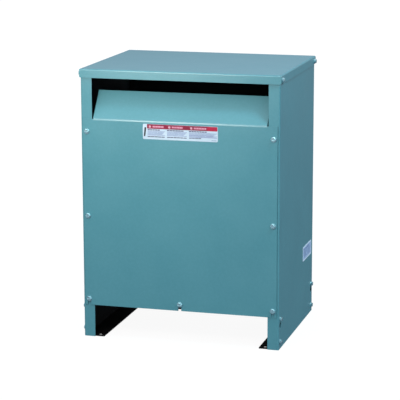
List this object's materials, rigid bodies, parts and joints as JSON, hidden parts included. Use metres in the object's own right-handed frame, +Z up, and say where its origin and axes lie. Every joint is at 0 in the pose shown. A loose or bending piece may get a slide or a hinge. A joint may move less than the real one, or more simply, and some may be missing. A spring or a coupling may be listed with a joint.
{
  "type": "dry-type distribution transformer",
  "caption": "Floor-standing ventilated dry-type transformer: sheet-metal cabinet with removable covers, a top vent front and rear, and a three-leg core with coils inside.",
  "frame": {"origin": "on the floor under the middle of the enclosure", "axes": "+Z up, +Y towards the rear cover, +X to the right when facing the front cover"},
  "size_m": [0.5238, 0.4074, 0.686],
  "materials": {
    "enclosure_paint": "semi-gloss blue-green powder coat",
    "base_paint": "matt black paint",
    "clamp_paint": "satin dark primer",
    "zinc_screws": "bright zinc plate",
    "plated_bolts": "yellow-passivated zinc plate",
    "pad_rubber": "moulded rubber",
    "core_steel": "varnished electrical-steel laminations",
    "winding_tube": "varnished aramid and pressboard",
    "low_voltage_winding": "strip winding under brown varnish",
    "high_voltage_winding": "layer winding wrapped in varnished tape",
    "duct_spacers": "pultruded glass-polyester sticks",
    "coil_blocks": "moulded glass-polyester",
    "terminal_board": "moulded glass-polyester sheet",
    "bar_metal": "tin-plated aluminium",
    "lead_sleeve": "black woven sleeve",
    "bonding_strap": "tinned copper braid",
    "front_label": "laminated film label",
    "side_label": "laminated film label"
  },
  "bodies": {
    "frame_and_core": {"centre_core_leg": "core_steel", "centre_high_voltage_lead": "lead_sleeve", "centre_high_voltage_winding": "high_voltage_winding", "centre_low_voltage_bar": "bar_metal", "centre_low_voltage_winding": "low_voltage_winding", "centre_winding_tube": "winding_tube", "clamp_bolts": "plated_bolts", "clamp_nuts": "plated_bolts", "coil_blocks": "coil_blocks", "core_bottom_yoke": "core_steel", "core_top_yoke": "core_steel", "duct_spacers": "duct_spacers", "front_base_channel": "base_paint", "front_core_support": "base_paint", "front_left_vibration_pad": "pad_rubber", "front_right_vibration_pad": "pad_rubber", "ground_lug": "bar_metal", "ground_strap": "bonding_strap", "high_voltage_studs": "plated_bolts", "isolation_bolts": "plated_bolts", "isolation_nuts": "plated_bolts", "left_base_rail": "base_paint", "left_board_bracket": "clamp_paint", "left_core_leg": "core_steel", "left_high_voltage_lead": "lead_sleeve", "left_high_voltage_winding": "high_voltage_winding", "left_low_voltage_bar": "bar_metal", "left_low_voltage_winding": "low_voltage_winding", "left_side_panel": "enclosure_paint", "left_winding_tube": "winding_tube", "lower_front_clamp": "clamp_paint", "lower_rear_clamp": "clamp_paint", "neutral_bar": "bar_metal", "rear_base_channel": "base_paint", "rear_core_support": "base_paint", "rear_left_vibration_pad": "pad_rubber", "rear_right_vibration_pad": "pad_rubber", "right_base_rail": "base_paint", "right_board_bracket": "clamp_paint", "right_core_leg": "core_steel", "right_high_voltage_lead": "lead_sleeve", "right_high_voltage_winding": "high_voltage_winding", "right_low_voltage_bar": "bar_metal", "right_low_voltage_winding": "low_voltage_winding", "right_side_panel": "enclosure_paint", "right_winding_tube": "winding_tube", "side_label": "side_label", "side_panel_screws": "zinc_screws", "tap_terminals": "bar_metal", "terminal_board": "terminal_board", "terminal_bolts": "plated_bolts", "top_cover_screws": "zinc_screws", "upper_front_clamp": "clamp_paint", "upper_rear_clamp": "clamp_paint"},
    "front_cover": {"front_cover": "enclosure_paint", "front_label": "front_label"},
    "front_cover_screws": {"front_cover_screws": "zinc_screws"},
    "rear_cover": {"rear_cover": "enclosure_paint"},
    "rear_cover_screws": {"rear_cover_screws": "zinc_screws"},
    "top_cover": {"top_cover": "enclosure_paint"}
  },
  "joints": [
    {"name": "top_cover_lift", "type": "slide", "parent": "frame_and_core", "child": "top_cover", "axis": [0, 0, 1], "range_m": [0, 0.2]},
    {"name": "front_cover_pull", "type": "slide", "parent": "frame_and_core", "child": "front_cover", "axis": [0, -1, 0], "range_m": [0, 0.25]},
    {"name": "front_screws_out", "type": "slide", "parent": "front_cover", "child": "front_cover_screws", "axis": [0, -1, 0], "range_m": [0, 0.03]},
    {"name": "rear_cover_pull", "type": "slide", "parent": "frame_and_core", "child": "rear_cover", "axis": [0, 1, 0], "range_m": [0, 0.25]},
    {"name": "rear_screws_out", "type": "slide", "parent": "rear_cover", "child": "rear_cover_screws", "axis": [0, 1, 0], "range_m": [0, 0.03]}
  ]
}
